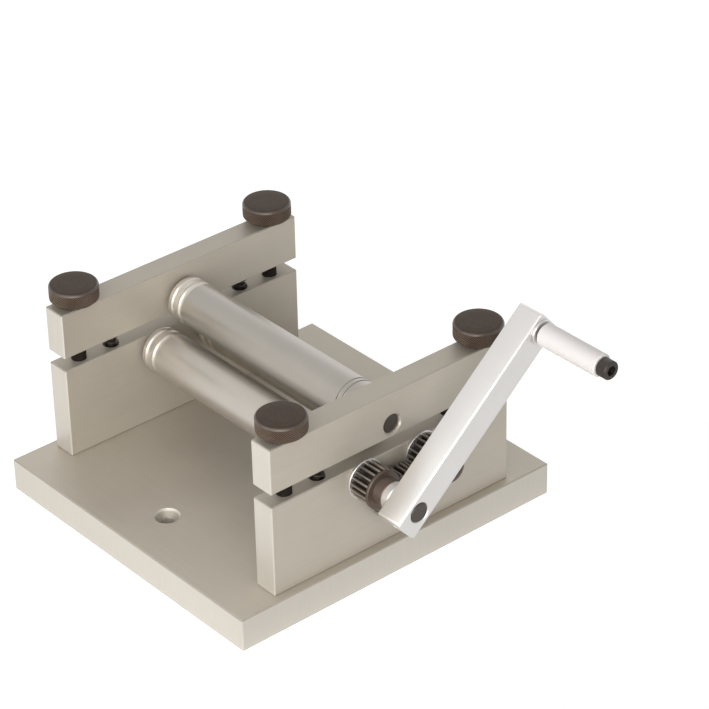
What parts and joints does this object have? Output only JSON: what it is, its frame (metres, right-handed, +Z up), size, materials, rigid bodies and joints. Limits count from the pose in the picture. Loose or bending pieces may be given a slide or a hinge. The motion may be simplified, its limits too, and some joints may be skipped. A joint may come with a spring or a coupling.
{
  "type": "slip roll machine",
  "caption": "Bench slip roll for curving sheet metal: rolls between split side plates on a flat base, a hand crank with a gear train, and thumbscrews that set the roll gap.",
  "frame": {"origin": "centre of the base plate's underside", "axes": "+X along the rolls towards the crank, +Y to the back, +Z up"},
  "size_m": [0.2679, 0.198, 0.1368],
  "materials": {
    "plate_aluminium": "satin, fine brushed",
    "bright_aluminium": "bright, finely brushed",
    "roll_steel": "ground bright",
    "black_oxide_steel": "black oxide",
    "spring_steel": "dark oiled",
    "white_plastic": "smooth"
  },
  "bodies": {
    "frame": {"base_plate": "plate_aluminium", "left_side_plate": "plate_aluminium", "right_side_plate": "plate_aluminium", "left_plate_screws": "black_oxide_steel", "right_plate_screws": "black_oxide_steel", "idler_stud": "black_oxide_steel", "lift_spring_front_left": "spring_steel", "lift_spring_rear_left": "spring_steel", "lift_spring_front_right": "spring_steel", "lift_spring_rear_right": "spring_steel", "guide_pin_front_left": "spring_steel", "guide_pin_rear_left": "spring_steel", "guide_pin_front_right": "spring_steel", "guide_pin_rear_right": "spring_steel"},
    "crank": {"front_roll": "roll_steel", "front_gear_washer": "bright_aluminium", "front_gear": "black_oxide_steel", "front_gear_set_screw": "black_oxide_steel", "crank_collar": "bright_aluminium", "crank_arm": "bright_aluminium", "crank_set_screw": "black_oxide_steel", "handle_washer": "bright_aluminium", "handle_screw": "black_oxide_steel"},
    "grip": {"handle_grip": "white_plastic"},
    "rear_roll_set": {"rear_roll": "roll_steel", "rear_gear_washer": "bright_aluminium", "rear_gear": "black_oxide_steel", "rear_gear_set_screw": "black_oxide_steel"},
    "idler": {"idler_gear": "black_oxide_steel"},
    "left_bar": {"left_top_bar": "plate_aluminium"},
    "right_bar": {"right_top_bar": "plate_aluminium"},
    "top_roll": {"top_roll": "roll_steel"},
    "thumbscrew_front_left": {"thumbscrew_front_left": "black_oxide_steel"},
    "thumbscrew_rear_left": {"thumbscrew_rear_left": "black_oxide_steel"},
    "thumbscrew_front_right": {"thumbscrew_front_right": "black_oxide_steel"},
    "thumbscrew_rear_right": {"thumbscrew_rear_right": "black_oxide_steel"}
  },
  "joints": [
    {"name": "crank_turn", "type": "hinge", "parent": "frame", "child": "crank", "pos_m": [0.0878, -0.018, 0.06], "axis": [1, 0, 0], "continuous": true},
    {"name": "idler_turn", "type": "hinge", "parent": "frame", "child": "idler", "pos_m": [0.0933, 0, 0.04568], "axis": [1, 0, 0], "continuous": true},
    {"name": "rear_roll_turn", "type": "hinge", "parent": "frame", "child": "rear_roll_set", "pos_m": [0.0878, 0.018, 0.06], "axis": [1, 0, 0], "continuous": true},
    {"name": "grip_turn", "type": "hinge", "parent": "crank", "child": "grip", "pos_m": [0.1489, 0.05951, 0.12738], "axis": [1, 0, 0], "continuous": true},
    {"name": "left_bar_slide", "type": "slide", "parent": "frame", "child": "left_bar", "axis": [0, 0, 1], "range_m": [-0.006, 0.004], "deforming": ["lift_spring_front_left", "lift_spring_rear_left"]},
    {"name": "right_bar_slide", "type": "slide", "parent": "frame", "child": "right_bar", "axis": [0, 0, 1], "range_m": [-0.006, 0.004], "deforming": ["lift_spring_front_right", "lift_spring_rear_right"]},
    {"name": "top_roll_turn", "type": "hinge", "parent": "left_bar", "child": "top_roll", "pos_m": [0, 0, 0.0827], "axis": [1, 0, 0], "continuous": true},
    {"name": "thumbscrew_front_left_turn", "type": "hinge", "parent": "left_bar", "child": "thumbscrew_front_left", "pos_m": [-0.08105, -0.0618, 0.1007], "axis": [0, 0, 1], "range_deg": [-1532, 1022]},
    {"name": "thumbscrew_rear_left_turn", "type": "hinge", "parent": "left_bar", "child": "thumbscrew_rear_left", "pos_m": [-0.08105, 0.0618, 0.1007], "axis": [0, 0, 1], "range_deg": [-1532, 1022]},
    {"name": "thumbscrew_front_right_turn", "type": "hinge", "parent": "right_bar", "child": "thumbscrew_front_right", "pos_m": [0.08105, -0.0618, 0.1007], "axis": [0, 0, 1], "range_deg": [-1532, 1022]},
    {"name": "thumbscrew_rear_right_turn", "type": "hinge", "parent": "right_bar", "child": "thumbscrew_rear_right", "pos_m": [0.08105, 0.0618, 0.1007], "axis": [0, 0, 1], "range_deg": [-1532, 1022]}
  ],
  "couplings": [
    {"joint": "idler_turn", "follows": "crank_turn", "ratio": -0.64286},
    {"joint": "rear_roll_turn", "follows": "crank_turn", "ratio": 1},
    {"joint": "thumbscrew_front_left_turn", "follows": "left_bar_slide", "rad_per_m": 4452.7},
    {"joint": "thumbscrew_rear_left_turn", "follows": "left_bar_slide", "rad_per_m": 4452.7},
    {"joint": "thumbscrew_front_right_turn", "follows": "left_bar_slide", "rad_per_m": 4452.7},
    {"joint": "thumbscrew_rear_right_turn", "follows": "left_bar_slide", "rad_per_m": 4452.7},
    {"joint": "right_bar_slide", "follows": "left_bar_slide", "ratio": 1}
  ]
}
